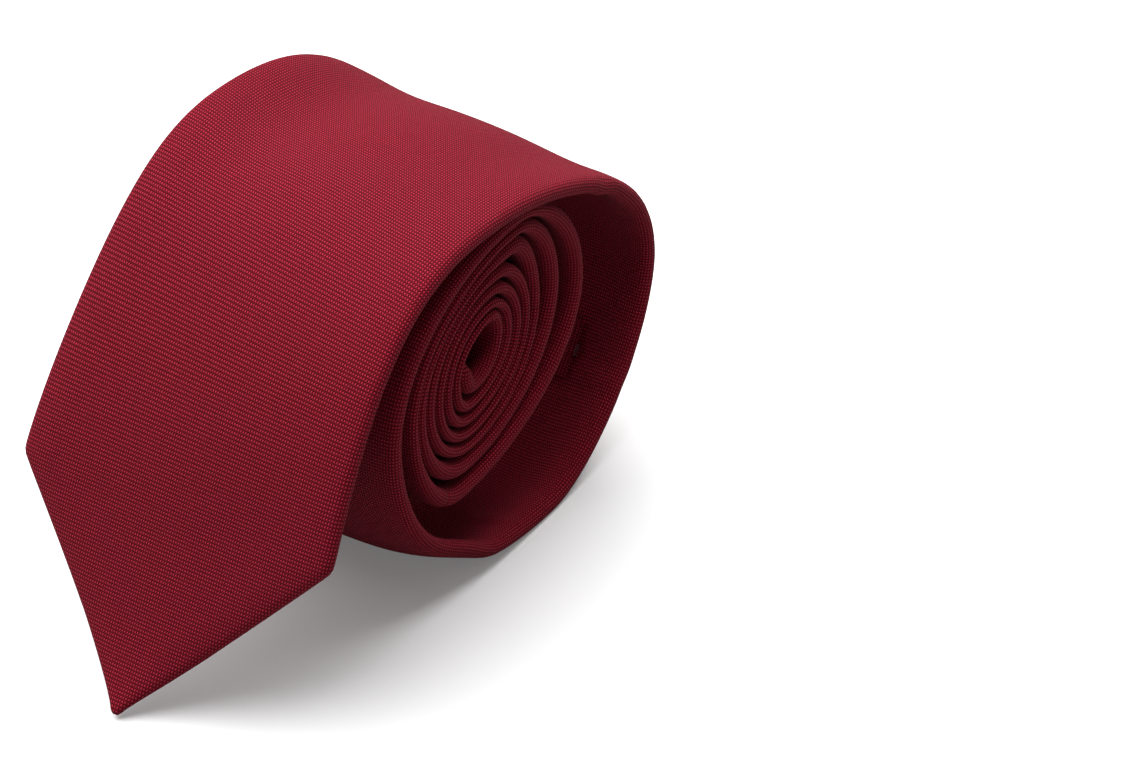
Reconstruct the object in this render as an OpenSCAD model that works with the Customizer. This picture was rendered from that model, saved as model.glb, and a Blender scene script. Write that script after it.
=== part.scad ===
// Necktie, rolled up from its narrow end, with the wide blade hanging off the front of the roll.
// The tie's middle line is drawn as a spiral in the Y-Z plane, and every cloth piece is swept along it.
// X runs across the tie, +Z is up, and the origin is on the surface below the middle of the roll.
// Each layer has its own level n, measured from the middle of the tie towards its front face.

/* [Tie] */
// Width of the wide blade at its two corners
blade_w = 85; // [82:0.5:86]
// Width at the neck, where the tie is narrowest
neck_w = 38; // [34:0.5:42]
// Width of the narrow blade at its two corners
tail_w = 48; // [44:0.5:50]
// Length of the wide blade's point, from its corners to its tip
point_l = 48; // [46:1:52]
// Length of the narrow blade's point
tail_point_l = 27; // [24:1:30]
// How far along the tie the neck is
neck_at = 860; // [820:10:900]

/* [Cloth] */
// Thickness of the whole folded tie
tie_t = 2.8; // [2.7:0.05:2.9]
// Thickness of the shell cloth
shell_t = 0.42; // [0.38:0.01:0.44]
// Thickness of the interlining
core_t = 1; // [0.8:0.05:1]
// Thickness of the tipping
tipping_t = 0.22; // [0.15:0.01:0.24]
// Depth of the hem turned back along each point
hem = 8; // [6:0.5:10]
// Thickness of the sewing thread
thread_t = 0.26; // [0.2:0.01:0.28]

/* [Make-up] */
// Where the back seam starts, measured from the wide tip
seam_from = 128; // [120:1:140]
// Where the back seam ends, measured back from the narrow tip
seam_to = 82; // [76:1:90]
// Where the wide blade is joined to the neck piece
wide_join = 585; // [580:5:600]
// Where the neck piece is joined to the narrow blade
narrow_join = 870; // [865:5:880]
// How far the keeper loop is from the wide tip
keeper_at = 255; // [250:1:260]
// Width of the keeper loop, measured along the tie
keeper_w = 15; // [12:1:16]
// Span of the keeper loop across the tie
keeper_span = 42; // [38:1:46]

/* [Hidden] */

// --- The roll: the middle line of the tie, as [y, z] points ---
half_t = tie_t/2;
// The blade, from its tip over the front to the top of the roll: a cubic curve's four points
blade_curve = [[-81.7, 1], [-52, 34], [-48, 95.3], [2, 95.3]];
// The outer wrap: furthest back, then the ends of its flat rest on the surface
outer_back = [80, 48.5];
rest_back = [34, half_t];
rest_front = [9, half_t];
// Each inner winding's furthest front, top, back and bottom points, from the outside in
windings = [
    [[-26.5, 52],   [20, 87.5],   [52.5, 57],   [1, 23.5]],
    [[-17, 53.5],   [25, 83],     [43, 60.5],   [4, 29.5]],
    [[-13.5, 54],   [25.5, 79.5], [35, 61],     [6.5, 34.5]],
    [[-9.5, 53],    [18.5, 75],   [31, 59],     [6.5, 38]],
    [[-5.5, 52.5],  [16, 71.5],   [27.5, 58],   [6.5, 41.5]],
    [[-2, 52.5],    [15, 68],     [24, 58],     [6.5, 45]],
    [[1.6, 53],     [17, 65],     [20, 60],     [8.5, 48.3]],
    [[5.2, 54],     [14, 61.6],   [16.6, 58],   [10.5, 51.8]]
];
outer_steps = 10;
inner_steps = [9, 7, 7, 6, 6, 6, 5, 5];
blade_steps = 24;
// The roll's middle in Y on the curve's own grid, which becomes the origin
centre_y = 0.45;
// Exponents below 2 flatten the outer wrap's lower back and lower front
back_exponent = 1.7;
front_exponent = 1.85;

function mix(a, b, t) = a + (b - a)*t;
function ramp(s, a, b) = s <= a ? 0 : s >= b ? 1 : pow(sin(90*(s - a)/(b - a)), 2);

function cubic(p, t) = pow(1 - t, 3)*p[0] + 3*pow(1 - t, 2)*t*p[1] + 3*(1 - t)*t*t*p[2] + pow(t, 3)*p[3];
// A quarter of an ellipse that leaves a upright and reaches b level
function upright_to_level(a, b, steps, e = 2) =
    [for (i = [0:steps - 1]) let (t = 90*i/steps)
        [b.x - (b.x - a.x)*pow(cos(t), 2/e), a.y + (b.y - a.y)*pow(sin(t), 2/e)]];
// A quarter of an ellipse that leaves a level and reaches b upright
function level_to_upright(a, b, steps, e = 2) =
    [for (i = [0:steps - 1]) let (t = 90*i/steps)
        [a.x + (b.x - a.x)*pow(sin(t), 2/e), b.y + (a.y - b.y)*pow(cos(t), 2/e)]];
function winding(from, w, steps, e) = concat(
    level_to_upright(from, w[0], steps, e), upright_to_level(w[0], w[1], steps),
    level_to_upright(w[1], w[2], steps), upright_to_level(w[2], w[3], steps));

line = concat(
    [for (i = [0:blade_steps - 1]) cubic(blade_curve, i/blade_steps)],
    level_to_upright(blade_curve[3], outer_back, outer_steps),
    upright_to_level(outer_back, rest_back, outer_steps, back_exponent),
    [rest_back],
    [for (k = [0:len(windings) - 1])
        for (p = winding(k == 0 ? rest_front : windings[k - 1][3], windings[k], inner_steps[k],
                         k == 0 ? front_exponent : 2)) p],
    [windings[len(windings) - 1][3]]);
last = len(line) - 1;

function running(i, so_far = 0) =
    i > last ? [] : concat([so_far], running(i + 1, i == last ? 0 : so_far + norm(line[i + 1] - line[i])));
along = running(0);
tie_l = along[last];
function unit(v) = v/norm(v);
function heading(i) = unit(line[min(i + 1, last)] - line[max(i - 1, 0)]);
track_y = [for (i = [0:last]) [along[i], line[i].x - centre_y]];
track_z = [for (i = [0:last]) [along[i], line[i].y]];
face_y = [for (i = [0:last]) [along[i], -heading(i).y]];
face_z = [for (i = [0:last]) [along[i], heading(i).x]];

// --- Width and sideways place along the tie ---
near_edge = blade_w/2;
// The near edges of the inner windings stand back: first by a step between two places along the tie,
// and from there slowly by the recess
step_back = 3;
step_at = [320, 395];
recess = 2.6;
recess_l = 400;
function near_x(s) = near_edge - step_back*ramp(s, step_at[0], step_at[1])
    - recess*(1 - exp(min(0, step_at[1] - s)/recess_l));
tail_corner = tie_l - tail_point_l;
function full_w(s) = s < neck_at ? mix(blade_w, neck_w, (s - point_l)/(neck_at - point_l))
    : mix(neck_w, tail_w, (s - neck_at)/(tail_corner - neck_at));
function width(s) = s < point_l ? blade_w*s/point_l
    : s > tail_corner ? tail_w*(tie_l - s)/tail_point_l : full_w(s);
function middle_x(s) = let (c = min(max(s, point_l), tail_corner)) near_x(c) - full_w(c)/2;
// The far side of the outer wrap swings back and up over the top of the roll
swing_back = 12;
swing_up = 3;
// Where that swing is full, and where it has died away
swing_full = [115, 150];
swing_end = 235;
function swing(s) = ramp(s, point_l, swing_full[0])*(1 - ramp(s, swing_full[1], swing_end));

// A point of the tie: s along it, u across it from its middle, n out towards its front face
function place(s, u, n) = let (x = middle_x(s) + u, far = swing(s)*(near_edge - x)/blade_w)
    [x, lookup(s, track_y) + n*lookup(s, face_y) + swing_back*far,
        lookup(s, track_z) + n*lookup(s, face_z) + swing_up*far];
// Ring positions: every point of the line between the keys, and the keys themselves
function stations(keys) = concat(
    [for (k = [0:len(keys) - 2]) for (s = concat([keys[k]],
        [for (a = along) if (a > keys[k] + 0.8 && a < keys[k + 1] - 0.8) a])) s],
    [keys[len(keys) - 1]]);

// Joins rings of m points into a closed solid. Points j and m - 1 - j of a ring face each other across
// the cloth, so each end is closed by a strip of four-sided faces, and the two sides of the cloth are split
// along the same diagonals, which keeps a thin layer's faces apart where it twists.
module loft(rings) {
    m = len(rings[0]);
    n = len(rings);
    end = (n - 1)*m;
    polyhedron(
        points = [for (r = rings) for (p = r) p],
        faces = concat(
            [for (j = [0:m/2 - 2]) [j, j + 1, m - 2 - j, m - 1 - j]],
            [for (j = [0:m/2 - 2]) [end + m - 1 - j, end + m - 2 - j, end + j + 1, end + j]],
            [for (i = [0:n - 2]) for (j = [0:m - 1])
                let (k = (j + 1) % m, a = i*m + j, b = a + m, c = i*m + k, d = c + m)
                each j < m/2 ? [[a, b, d], [a, d, c]] : [[a, b, c], [b, d, c]]]),
        convexity = 12);
}
// A bar of the tie's own curve: from s0 to s1, across u0 to u1, from level n0 up to n1
module slab(s0, s1, u0, u1, n0, n1)
    loft([for (s = stations([s0, s1]))
        [place(s, u0, n0), place(s, u1, n0), place(s, u1, n1), place(s, u0, n1)]]);

// --- Levels of the layers ---
gap = 0.08;
top_n = half_t - shell_t/2;
lap_n = -top_n;
flap_n = lap_n + shell_t + gap;
core_top = half_t - shell_t - gap - 0.02;
core_low = core_top - core_t;
tipping_top = core_low - gap;
tipping_low = tipping_top - tipping_t;
stitch_top = -half_t + shell_t + gap/4;

// --- Section of the folded shell ---
// The shell starts this far from each tip, where it is wide enough to be folded
tip_start = 3.5;
// The over flap laps the under flap by this much, and ends this far past the middle
lap = 7;
lap_edge = 3;
// Width of the step down beside the lap, and its distance beyond the lap
lap_step = 1.5;
lap_clear = 2.5;
// The flaps rise to their lapped levels, then meet, over this length each
closing_l = 10;
// Distance from the nearer tip, and that tip's own seam start and point length
function from_tip(s) = min(s, tie_l - s);
function seam_start(s) = s < tie_l/2 ? seam_from : seam_to;
function corner_at(s) = s < tie_l/2 ? point_l : tail_point_l;
// 0 where the back is open, 1 where its two flaps overlap
function lapped(s) = ramp(from_tip(s), seam_start(s) - closing_l, seam_start(s));
// Half width of the opening between the flaps, which closes towards the start of the seam
function opening(s) = let (d = from_tip(s), c = corner_at(s))
    d <= c ? max(0.5, width(s)/2 - hem)
    : mix(width(s)/2 - hem, lap - lap_edge, min(1, (d - c)/(seam_start(s) - closing_l - c)));
function under_end(s) = mix(-opening(s), lap - lap_edge, lapped(s));
function over_end(s) = mix(opening(s), -lap_edge, lapped(s));
// The shell's middle line: under flap, left fold, front, right fold, over flap
function shell_line(s) = let (
        h = width(s)/2 - shell_t/2, m = (top_n + flap_n)/2, r = (top_n - flap_n)/2, c = 0.3*r,
        over = over_end(s), free = h - r - over,
        sunk = ramp(from_tip(s), seam_start(s) - 2*closing_l, seam_start(s) - closing_l),
        level = mix(flap_n, lap_n, sunk),
        step = over + mix(min(lap_step, free/3), lap + lap_clear, lapped(s)))
    [[under_end(s), flap_n], [r - h, flap_n], [c - h, flap_n + c], [-h, m], [c - h, top_n - c],
     [r - h, top_n], [h - r, top_n], [h - c, top_n - c], [h, m], [h - c, flap_n + c], [h - r, flap_n],
     [min(step + lap_step, step + free/3), flap_n], [step, level], [over, level]];
function side(p, i) = let (
        a = i == 0 ? unit(p[1] - p[0]) : unit(p[i] - p[i - 1]),
        b = i == len(p) - 1 ? a : unit(p[i + 1] - p[i]), t = unit(a + b))
    [-t.y, t.x]/max(0.5, t*a);
function outline(p, t) = concat(
    [for (i = [0:len(p) - 1]) p[i] + side(p, i)*t/2],
    [for (i = [len(p) - 1:-1:0]) p[i] - side(p, i)*t/2]);
module shell(keys)
    loft([for (s = stations(keys)) [for (q = outline(shell_line(s), shell_t)) place(s, q.x, q.y)]]);

// --- Cloth pieces ---
cloth = "#861f30";
join_gap = 0.25;
module wide_blade_shell() color(cloth)
    shell([tip_start, point_l, seam_from - 2*closing_l, seam_from - closing_l, seam_from,
           wide_join - join_gap]);
module neck_shell() color("#80202f") shell([wide_join + join_gap, narrow_join - join_gap]);
module narrow_blade_shell() color("#7c1d2c")
    shell([narrow_join + join_gap, tie_l - seam_to, tie_l - seam_to + closing_l,
           tie_l - seam_to + 2*closing_l, tail_corner, tie_l - tip_start]);

core_inset = 1.5;
core_end = 8;
// A layer inside the shell, from level low to level high, a little narrower than the tie
module layer(keys, low, high) loft([for (s = stations(keys)) let (h = width(s)/2 - core_inset)
    [place(s, -h, low), place(s, h, low), place(s, h, high), place(s, -h, high)]]);
module interlining() color("#d9d2c2")
    layer([core_end, point_l, tail_corner, tie_l - core_end], core_low, core_top);

module tipping(keys) layer(keys, tipping_low, tipping_top);
wide_tipping_l = 155;
narrow_tipping_l = 96;
module wide_tipping() color("#6d1a28") tipping([core_end, point_l, wide_tipping_l]);
module narrow_tipping() color("#6d1a28") tipping([tie_l - narrow_tipping_l, tail_corner, tie_l - core_end]);

// --- Keeper loop and label, on the back of the wide blade ---
back = -half_t;
// Clearance between the back and what is sewn to it
back_gap = 0.05;
keeper_t = 0.5;
keeper_slot = 0.45;
keeper_leg = 0.6;
module keeper_loop() color("#8c2234")
    loft([for (s = stations([keeper_at, keeper_at + keeper_w])) let (
            h = keeper_span/2, k = h - keeper_leg,
            low = back - back_gap, roof = back - keeper_slot, face = roof - keeper_t)
        [for (q = [[-h, low], [-h, face], [h, face], [h, low], [k, low], [k, roof], [-k, roof], [-k, low]])
            place(s, q.x, q.y)]]);
tack_w = 1.2;
tack_l = 3;
tack_t = 0.65;
tack_gap = 0.1;
module keeper_tacks() color("#4c0f1a")
    for (u = [-keeper_span/2 - tack_w - tack_gap, keeper_span/2 + tack_gap])
        slab(keeper_at + keeper_w/2 - tack_l/2, keeper_at + keeper_w/2 + tack_l/2, u, u + tack_w,
             back - back_gap - tack_t, back - back_gap);
label_at = keeper_at + keeper_w + 10;
label_l = 14;
label_w = 26;
label_t = 0.2;
module care_label() color("#ece8df")
    slab(label_at, label_at + label_l, -label_w/2, label_w/2, back - back_gap - label_t, back - back_gap);

// --- Sewing ---
thread_color = "#4c0f1a";
// One bar of stitches beyond each end of the label
bar_w = 0.5;
bar_t = 0.35;
module label_stitch() color(thread_color)
    for (s = [label_at - bar_w - tack_gap, label_at + label_l + tack_gap])
        slab(s, s + bar_w, -label_w/2, label_w/2, back - back_gap - bar_t, back - back_gap);
module thread(keys, u_shift) loft([for (s = stations(keys)) let (u = over_end(s) + u_shift)
    [place(s, u - thread_t, stitch_top - thread_t), place(s, u, stitch_top - thread_t),
     place(s, u, stitch_top), place(s, u - thread_t, stitch_top)]]);
// The slip stitch runs just past the over flap's edge, and stops short of both ends of the seam
slip_shift = -0.15;
slip_short = 2;
module slip_stitch() color(thread_color)
    thread([seam_from + slip_short, tie_l - seam_to - slip_short], slip_shift);
// The spare loop at the end of the slip stitch, which lets the seam give
loop_r = 3.5;
loop_at = seam_from - 30;
loop_n = tipping_low - 0.3;
module slack_loop() color(thread_color) {
    s = loop_at;
    p = place(s, 0, loop_n);
    translate(p) rotate([atan2(lookup(s, face_z), lookup(s, face_y)) - 90, 0, 0])
        rotate_extrude($fn = 32) translate([loop_r, 0]) circle(d = thread_t, $fn = 16);
}
// The bar tacks join the two flaps just outside the seam, from level to level
tack_half = 3.2;
tack_d = 2;
tack_out = 14;
tack_n = [-1.25, -0.55];
module bar_tack(s) slab(s, s + tack_d, -tack_half, tack_half, tack_n[0], tack_n[1]);
module wide_bar_tack() color(thread_color) bar_tack(seam_from - tack_out);
module narrow_bar_tack() color(thread_color) bar_tack(tie_l - seam_to + tack_out - tack_d);
// Hand stitches along the inner edges of the hems, which hold the tipping down
hem_stitch_in = 0.5;
hem_stitch_n = tipping_low - 0.05;
// Where the hem stitches start and end, from the tip and from the seam
hem_from = [14, 12];
hem_stop = 2*closing_l + 2;
module hem_stitch(keys) for (m = [-1, 1])
    loft([for (s = stations(keys)) let (
            u = m*(opening(s) - hem_stitch_in), a = thread_t/2, top = hem_stitch_n, low = top - thread_t)
        [place(s, u - a, low), place(s, u + a, low), place(s, u + a, top), place(s, u - a, top)]]);
module wide_tipping_stitch() color(thread_color) hem_stitch([hem_from[0], point_l, seam_from - hem_stop]);
module narrow_tipping_stitch() color(thread_color)
    hem_stitch([tie_l - seam_to + hem_stop, tail_corner, tie_l - hem_from[1]]);
// The row of stitching across each join of two shell pieces
seam_half = 0.12;
seam_deep = 0.14;
seam_inset = 2;
module join_seam(s) slab(s - seam_half, s + seam_half, seam_inset - width(s)/2, width(s)/2 - seam_inset,
                         top_n - seam_deep, top_n + seam_deep);
module wide_neck_seam() color(thread_color) join_seam(wide_join);
module narrow_neck_seam() color(thread_color) join_seam(narrow_join);

wide_blade_shell();
neck_shell();
narrow_blade_shell();
interlining();
wide_tipping();
narrow_tipping();
keeper_loop();
keeper_tacks();
care_label();
label_stitch();
slip_stitch();
slack_loop();
wide_bar_tack();
narrow_bar_tack();
wide_tipping_stitch();
narrow_tipping_stitch();
wide_neck_seam();
narrow_neck_seam();
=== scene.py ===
"""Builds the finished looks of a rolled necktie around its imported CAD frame.

The tie lies on its side, rolled up from its narrow end, with the wide blade hanging off the front of the
roll. X runs across the tie and along the roll's axis, Y from the hanging tip to the back of the roll, and Z
up. Along the tie, s is the distance from the wide tip. Across it, u is the distance from its middle line.
Through it, n is the level above the middle of its thickness, towards the front cloth. All three are in
millimetres.
"""

import math

import bpy
import numpy as np
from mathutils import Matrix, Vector


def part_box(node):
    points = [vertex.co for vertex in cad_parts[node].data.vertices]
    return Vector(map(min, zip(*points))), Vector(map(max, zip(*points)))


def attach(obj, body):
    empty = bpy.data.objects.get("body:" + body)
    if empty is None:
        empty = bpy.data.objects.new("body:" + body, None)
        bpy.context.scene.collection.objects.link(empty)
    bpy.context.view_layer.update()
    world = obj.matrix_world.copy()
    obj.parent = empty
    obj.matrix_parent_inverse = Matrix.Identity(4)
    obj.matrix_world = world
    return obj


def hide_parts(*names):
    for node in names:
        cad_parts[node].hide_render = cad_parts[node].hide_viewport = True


bl_info = {
    "name": "Rolled Necktie",
    "version": (1, 0, 0),
    "blender": (4, 5, 0),
    "location": "View3D > Sidebar > Necktie",
    "description": "Builds a rolled and lined necktie, piece by piece, around its CAD frame",
    "category": "Add Mesh",
}

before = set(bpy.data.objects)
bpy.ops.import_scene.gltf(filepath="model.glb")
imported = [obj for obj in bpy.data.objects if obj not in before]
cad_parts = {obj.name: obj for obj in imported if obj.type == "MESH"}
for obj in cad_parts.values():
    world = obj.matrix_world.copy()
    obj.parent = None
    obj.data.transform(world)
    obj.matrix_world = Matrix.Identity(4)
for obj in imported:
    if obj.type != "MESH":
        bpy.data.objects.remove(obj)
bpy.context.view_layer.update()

MM = 0.001

# --- The roll: the tie's middle line in the Y-Z plane ---

# The blade from its tip over the front to the top of the roll, as the four points of a cubic curve
BLADE_CURVE = ((-81.7, 1), (-52, 34), (-48, 95.3), (2, 95.3))
# The outer winding: its furthest back, then the two ends of its flat rest on the surface
OUTER_BACK = (80, 48.5)
REST_BACK = (34, 1.4)
REST_FRONT = (9, 1.4)
# Each inner winding's furthest front, top, back and bottom, from the outside in
WINDINGS = (
    ((-26.5, 52), (20, 87.5), (52.5, 57), (1, 23.5)),
    ((-17, 53.5), (25, 83), (43, 60.5), (4, 29.5)),
    ((-13.5, 54), (25.5, 79.5), (35, 61), (6.5, 34.5)),
    ((-9.5, 53), (18.5, 75), (31, 59), (6.5, 38)),
    ((-5.5, 52.5), (16, 71.5), (27.5, 58), (6.5, 41.5)),
    ((-2, 52.5), (15, 68), (24, 58), (6.5, 45)),
    ((1.6, 53), (17, 65), (20, 60), (8.5, 48.3)),
    ((5.2, 54), (14, 61.6), (16.6, 58), (10.5, 51.8)),
)
# Exponents below 2 flatten the outer winding's lower back and lower front
BACK_EXPONENT = 1.7
FRONT_EXPONENT = 1.85
QUARTER_STEPS = 160
# The line is resampled at this spacing, and its bends are evened out over this length
LINE_STEP = 0.25
LINE_SOFTNESS = 1.6
# The room between windings is looked up at every so many samples, among those at least this much further
# along, up to this distance, and evened out over a number of them
ROOM_STRIDE = 8
NEXT_WINDING_FROM = 40
ROOM_LIMIT = 20
ROOM_SPREAD = 11

# The roll's middle in Y on the line's own grid, which becomes the origin
CENTRE_Y = 0.45
# The near edges of the inner windings stand back: first by a step between two places along the tie, and
# from there slowly by the recess
STEP_BACK = 3
STEP_FROM, STEP_TO = 320, 395
RECESS = 2.6
RECESS_LENGTH = 400
# The far side of the outer winding swings back and up over the top of the roll: fully between two places
# along the tie, and not at all from a third
SWING_BACK = 12
SWING_UP = 3
SWING_FULL = (115, 150)
SWING_END = 235

# Soft swellings and hollows in the whole tie: s, x, reach along s, reach along x, height
SWELLS = (
    (150, -44, 40, 18, 5.2),
    (158, -18, 34, 12, -2.2),
    (150, 10, 36, 14, 0.5),
    (180, 30, 24, 12, -1.8),
    (76, -44, 28, 14, -1.0),
    (118, -8, 22, 26, 0.5),
    (70, 16, 16, 20, 0.5),
    (60, -22, 18, 16, -0.5),
    (30, 4, 12, 16, 0.4),
    (226, 20, 18, 20, -0.7),
    (286, 10, 14, 24, -0.4),
    (302, 44, 20, 16, 1.2),
    (343, 46, 17, 16, -5.0),
)
# Creases that only the back of the tie shows: s, x, reach along s, reach along x, height
CREASES = (
    (190, 36, 3.0, 12, -0.55),
    (197, 34, 3.5, 12, 0.5),
    (262, 34, 2.6, 9, 0.5),
    (268, 33, 2.6, 9, -0.6),
    (318, 32, 2.5, 9, -0.5),
)

# --- Levels of the layers through the tie, and the make-up of its back ---

TIE_T = 2.8
SHELL_T = 0.42
CORE_T = 1.0
TIPPING_T = 0.22
LAYER_GAP = 0.08
HALF_T = TIE_T / 2
TOP_N = HALF_T - SHELL_T / 2
LAP_N = -TOP_N
FLAP_N = LAP_N + SHELL_T + LAYER_GAP
CORE_TOP = HALF_T - SHELL_T - LAYER_GAP - 0.02
CORE_LOW = CORE_TOP - CORE_T
TIPPING_TOP = CORE_LOW - LAYER_GAP
TIPPING_LOW = TIPPING_TOP - TIPPING_T

# The folds along both edges: their radius, and how far the front rounds off towards them
FOLD_R = 1.15
SHOULDER = 8.0
SHOULDER_POWER = 2.2
# How deep it rounds off: on the loose outer winding, and on the inner ones, which press on each other more
# and more from one place to another
SHOULDER_DROP = (0.62, 0.34)
PRESSED_FROM, PRESSED_TO = 380, 500
# The back bulges at its edges into the room that the next winding leaves, from the least to the most
BACK_BULGE = (0.34, 2.6)
BACK_BULGE_REACH = 13.0
# A fold's radius grows with its bulge
FOLD_SHARE = 0.4
# The back seam: how far the over flap reaches past the middle, and where the under flap ends
LAP_EDGE = 3.0
UNDER_EDGE = 4.0
# Where the over flap starts to step down beside the lap, and the width of that step
LAP_STEP_AT = 6.5
LAP_STEP_REACH = 3.5
# Width of the hem along each point
HEM = 8.0
# The flaps meet over this length before the seam, and rise to their lapped levels over the same length
CLOSING = 10.0
# The fold turns from slanting to straight over this length round a corner
CORNER_EASE = 4.0
# The least half width of a ring, length of a flap and half width of the opening between two flaps
LEAST_HALF = 0.4
LEAST_FLAP = 0.05
LEAST_OPENING = 0.25
# Where the shell's three pieces are joined, measured from the wide tip
WIDE_JOIN = 585.0
NARROW_JOIN = 870.0
JOIN_GAP = 0.04
# The back seam starts and ends this far from the two tips
SEAM_FROM = 128.0
SEAM_TO = 82.0
# How far from each tip the linings start and how far they reach up the back
LINING_START = 8.0
LINING_INSET = 1.5
WIDE_TIPPING_REACH = 155.0
NARROW_TIPPING_REACH = 96.0
# The tips are rounded over this length, and this is their half width there
TIP_ROUND = 1.3
TIP_HALF = 1.0
# The shell cloth starts this far from each tip
TIP_GAP = 0.1
# How far the corners between a point and the long edges are rounded
CORNER_SOFTNESS = 0.8

# The keeper loop and the label, which are sewn to the back of the wide blade and just clear of it
BACK_CLEARANCE = 0.06
KEEPER_AT = 255.0
KEEPER_W = 15.0
KEEPER_SPAN = 42.0
KEEPER_T = 0.5
KEEPER_SLOT = 0.45
LABEL_AT = 280.0
LABEL_L = 14.0
LABEL_W = 26.0
LABEL_T = 0.2


def quarter(start, end, level_first, exponent=2.0):
    """A quarter of a superellipse from start to end, without its last point."""
    t = np.radians(np.linspace(0, 90, QUARTER_STEPS, endpoint=False))
    away = np.cos(t) ** (2 / exponent)
    reach = np.sin(t) ** (2 / exponent)
    (y0, z0), (y1, z1) = start, end
    if level_first:
        return np.stack([y0 + (y1 - y0) * reach, z1 + (z0 - z1) * away], 1)
    return np.stack([y1 - (y1 - y0) * away, z0 + (z1 - z0) * reach], 1)


def cubic(points, steps):
    """A cubic curve through its first point and up to its last, which is left out."""
    t = np.linspace(0, 1, steps, endpoint=False)[:, None]
    p0, p1, p2, p3 = (np.array(p, float) for p in points)
    return (1 - t) ** 3 * p0 + 3 * (1 - t) ** 2 * t * p1 + 3 * (1 - t) * t**2 * p2 + t**3 * p3


def roll_line():
    """The tie's middle line from the wide tip to the narrow tip, as (y, z) points."""
    runs = [
        cubic(BLADE_CURVE, 2 * QUARTER_STEPS),
        quarter(BLADE_CURVE[-1], OUTER_BACK, True),
        quarter(OUTER_BACK, REST_BACK, False, BACK_EXPONENT),
        np.linspace(REST_BACK, REST_FRONT, QUARTER_STEPS, endpoint=False),
    ]
    start, exponent = REST_FRONT, FRONT_EXPONENT
    for front, top, back, bottom in WINDINGS:
        runs += [
            quarter(start, front, True, exponent),
            quarter(front, top, False),
            quarter(top, back, True),
            quarter(back, bottom, False),
        ]
        start, exponent = bottom, 2.0
    return np.concatenate([*runs, [WINDINGS[-1][-1]]])


def smooth(x):
    """An ease from 0 to 1 as x goes from 0 to 1, level at both ends."""
    x = np.clip(x, 0, 1)
    return x * x * (3 - 2 * x)


def ramp(s, low, high):
    """0 up to low, 1 from high, and half a sine wave between."""
    return np.sin(np.pi / 2 * np.clip((s - low) / (high - low), 0, 1)) ** 2


def mix(a, b, share):
    return a + (b - a) * share


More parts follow.
